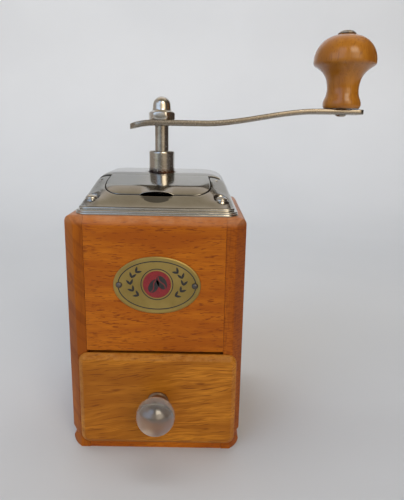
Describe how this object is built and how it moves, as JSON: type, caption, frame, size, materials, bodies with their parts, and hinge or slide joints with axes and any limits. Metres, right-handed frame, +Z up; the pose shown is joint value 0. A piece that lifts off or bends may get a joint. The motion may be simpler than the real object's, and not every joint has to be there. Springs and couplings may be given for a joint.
{
  "type": "manual coffee grinder",
  "caption": "Hand-cranked box mill: wooden box with drawer, pressed-steel cover with filling flap, S-curved crank with turned knob, conical burrs inside.",
  "frame": {"origin": "centre of the base underside, on the spindle axis", "axes": "+Z up along the spindle, -Y towards the drawer side, +X along the crank at rest"},
  "size_m": [0.1679, 0.124, 0.2319],
  "materials": {
    "beech_front": "orange-brown lacquered beech, fine horizontal grain",
    "beech_side": "red-brown lacquered beech",
    "beech_drawer": "lacquered beech with wavy horizontal grain, worn bevel",
    "raw_wood": "unfinished beech",
    "knob_wood": "honey-brown glossy lacquer over turned wood",
    "nickel": "aged warm-grey nickel plate, lightly scratched",
    "steel": "plain steel, dulled",
    "burr_iron": "hardened dark iron",
    "brass": "plain brass",
    "plaque": null,
    "nail": "darkened nail heads",
    "clear_pull": "clear, lightly smoked"
  },
  "bodies": {
    "body": {"left_side_board": "beech_side", "right_side_board": "beech_side", "front_panel": "beech_front", "back_panel": "beech_front", "bottom_board": "beech_front", "divider_board": "raw_wood", "corner_blocks": "raw_wood", "top_cover": "nickel", "cover_screws": "nickel", "bearing_collar": "nickel", "bearing_strap": "steel", "hopper_bowl": "steel", "outer_burr": "burr_iron", "burr_screws": "steel", "lower_bridge": "steel", "bridge_screws": "steel", "thrust_spring": "steel", "nameplate": "plaque", "nameplate_nails": "nail"},
    "lid": {"lid_flap": "nickel"},
    "drawer": {"drawer_front": "beech_drawer", "drawer_left_side": "raw_wood", "drawer_right_side": "raw_wood", "drawer_back": "raw_wood", "drawer_bottom": "raw_wood", "drawer_knob": "clear_pull", "drawer_knob_screw": "steel"},
    "thrust": {"thrust_ball": "steel"},
    "adjuster": {"adjuster_screw": "brass"},
    "crank": {"spindle": "nickel", "inner_burr": "burr_iron", "burr_pin": "steel", "spring_seat": "steel", "retaining_clip": "steel", "crank_arm": "nickel", "cap_nut": "nickel", "knob_pin": "nickel"},
    "knob": {"crank_knob": "knob_wood"}
  },
  "joints": [
    {"name": "drawer_slide", "type": "slide", "parent": "body", "child": "drawer", "axis": [0, -1, 0], "range_m": [0, 0.07]},
    {"name": "lid_hinge", "type": "hinge", "parent": "body", "child": "lid", "pos_m": [0, -0.0162, 0.1472], "axis": [-1, 0, 0], "range_deg": [0, 105]},
    {"name": "grind_lift", "type": "slide", "parent": "body", "child": "thrust", "axis": [0, 0, 1], "range_m": [0, 0.0008], "deforming": ["thrust_spring"]},
    {"name": "adjuster_turn", "type": "hinge", "parent": "thrust", "child": "adjuster", "pos_m": [0, 0, 0.05], "axis": [0, 0, 1], "range_deg": [0, 288]},
    {"name": "crank_turn", "type": "hinge", "parent": "thrust", "child": "crank", "pos_m": [0, 0, 0.15], "axis": [0, 0, 1], "continuous": true},
    {"name": "knob_spin", "type": "hinge", "parent": "crank", "child": "knob", "pos_m": [0.103, 0, 0.21], "axis": [0, 0, 1], "continuous": true}
  ],
  "couplings": [
    {"joint": "adjuster_turn", "follows": "grind_lift", "rad_per_m": 6283.2}
  ]
}
